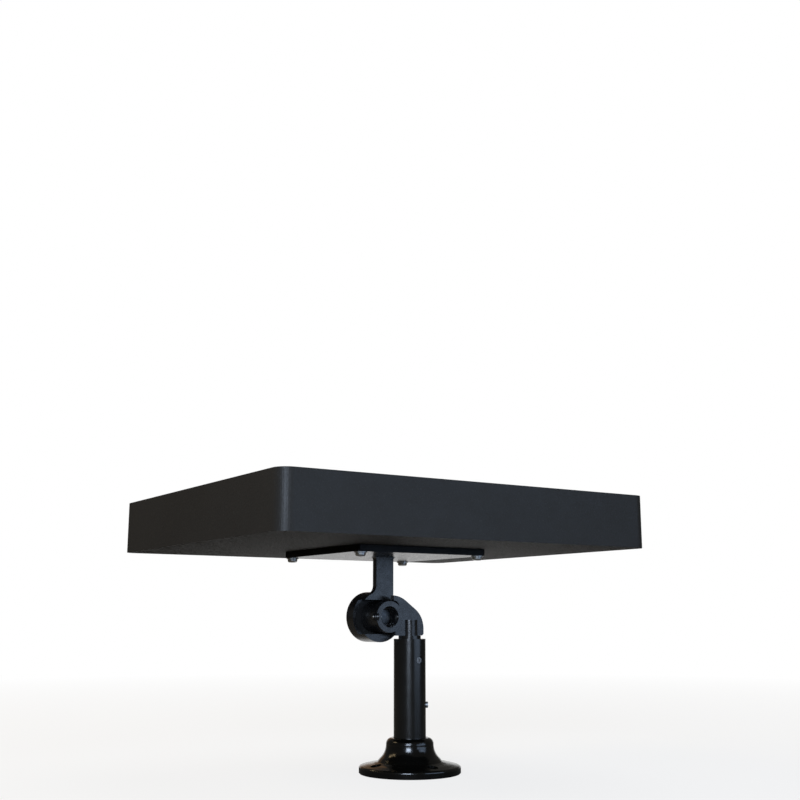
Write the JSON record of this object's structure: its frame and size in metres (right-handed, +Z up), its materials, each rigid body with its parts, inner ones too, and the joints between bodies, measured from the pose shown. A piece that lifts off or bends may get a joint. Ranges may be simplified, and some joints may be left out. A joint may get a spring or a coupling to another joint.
{
  "type": "tabletop speaker mount",
  "caption": "Thick rectangular slab for a loudspeaker on a tilting side knuckle, carried by a short height-adjustable pole with a round flared foot for a table.",
  "frame": {"origin": "on the table plane, at the centre of the foot's underside, on the pole's axis", "axes": "+Z up, -Y to the front where the listener sits, +X to the mount's right; the slab's length runs along Y"},
  "size_m": [0.355, 0.4004, 0.2653],
  "materials": {
    "slab_paint": "thick dark paint with a fine orange-peel grain over a wooden slab",
    "plate_paint": "semi-gloss black paint on sheet steel",
    "knuckle_paint": "semi-gloss black paint on casting",
    "pole_gloss": "gloss black paint on steel tube",
    "base_gloss": "gloss black paint on cast metal",
    "zinc_steel": "bright zinc plating",
    "spring_steel": "dark spring steel",
    "black_steel": "blackened steel",
    "black_plastic": "matt black plastic",
    "nylon_ring": "plain nylon",
    "fibre_disc": "pressed fibre"
  },
  "bodies": {
    "base": {"base_flange": "base_gloss", "pole_tube": "pole_gloss", "upper_lock_screw": "black_steel", "lower_lock_screw": "zinc_steel"},
    "riser": {"inner_tube": "pole_gloss", "inner_tube_plug": "black_plastic"},
    "head": {"lower_arm": "knuckle_paint", "pivot_bolt": "zinc_steel", "head_washer": "zinc_steel", "ring_pins": "zinc_steel", "disc_spring": "spring_steel", "rear_washer": "zinc_steel", "pivot_nut": "zinc_steel", "nut_lock_ring": "nylon_ring"},
    "platform": {"platform_block": "slab_paint", "top_plate": "plate_paint", "plate_screws": "zinc_steel", "plate_washers": "zinc_steel", "neck_bracket": "knuckle_paint", "friction_bush": "black_plastic", "friction_washer": "fibre_disc"}
  },
  "joints": [
    {"name": "height", "type": "slide", "parent": "base", "child": "riser", "axis": [0, 0, 1], "range_m": [0, 0.05]},
    {"name": "swivel", "type": "hinge", "parent": "riser", "child": "head", "pos_m": [0, 0, 0.12], "axis": [0, 0, 1], "continuous": true},
    {"name": "tilt", "type": "hinge", "parent": "head", "child": "platform", "pos_m": [-0.011, -0.0275, 0.14895], "axis": [1, 0, 0], "range_deg": [-30, 30]}
  ]
}
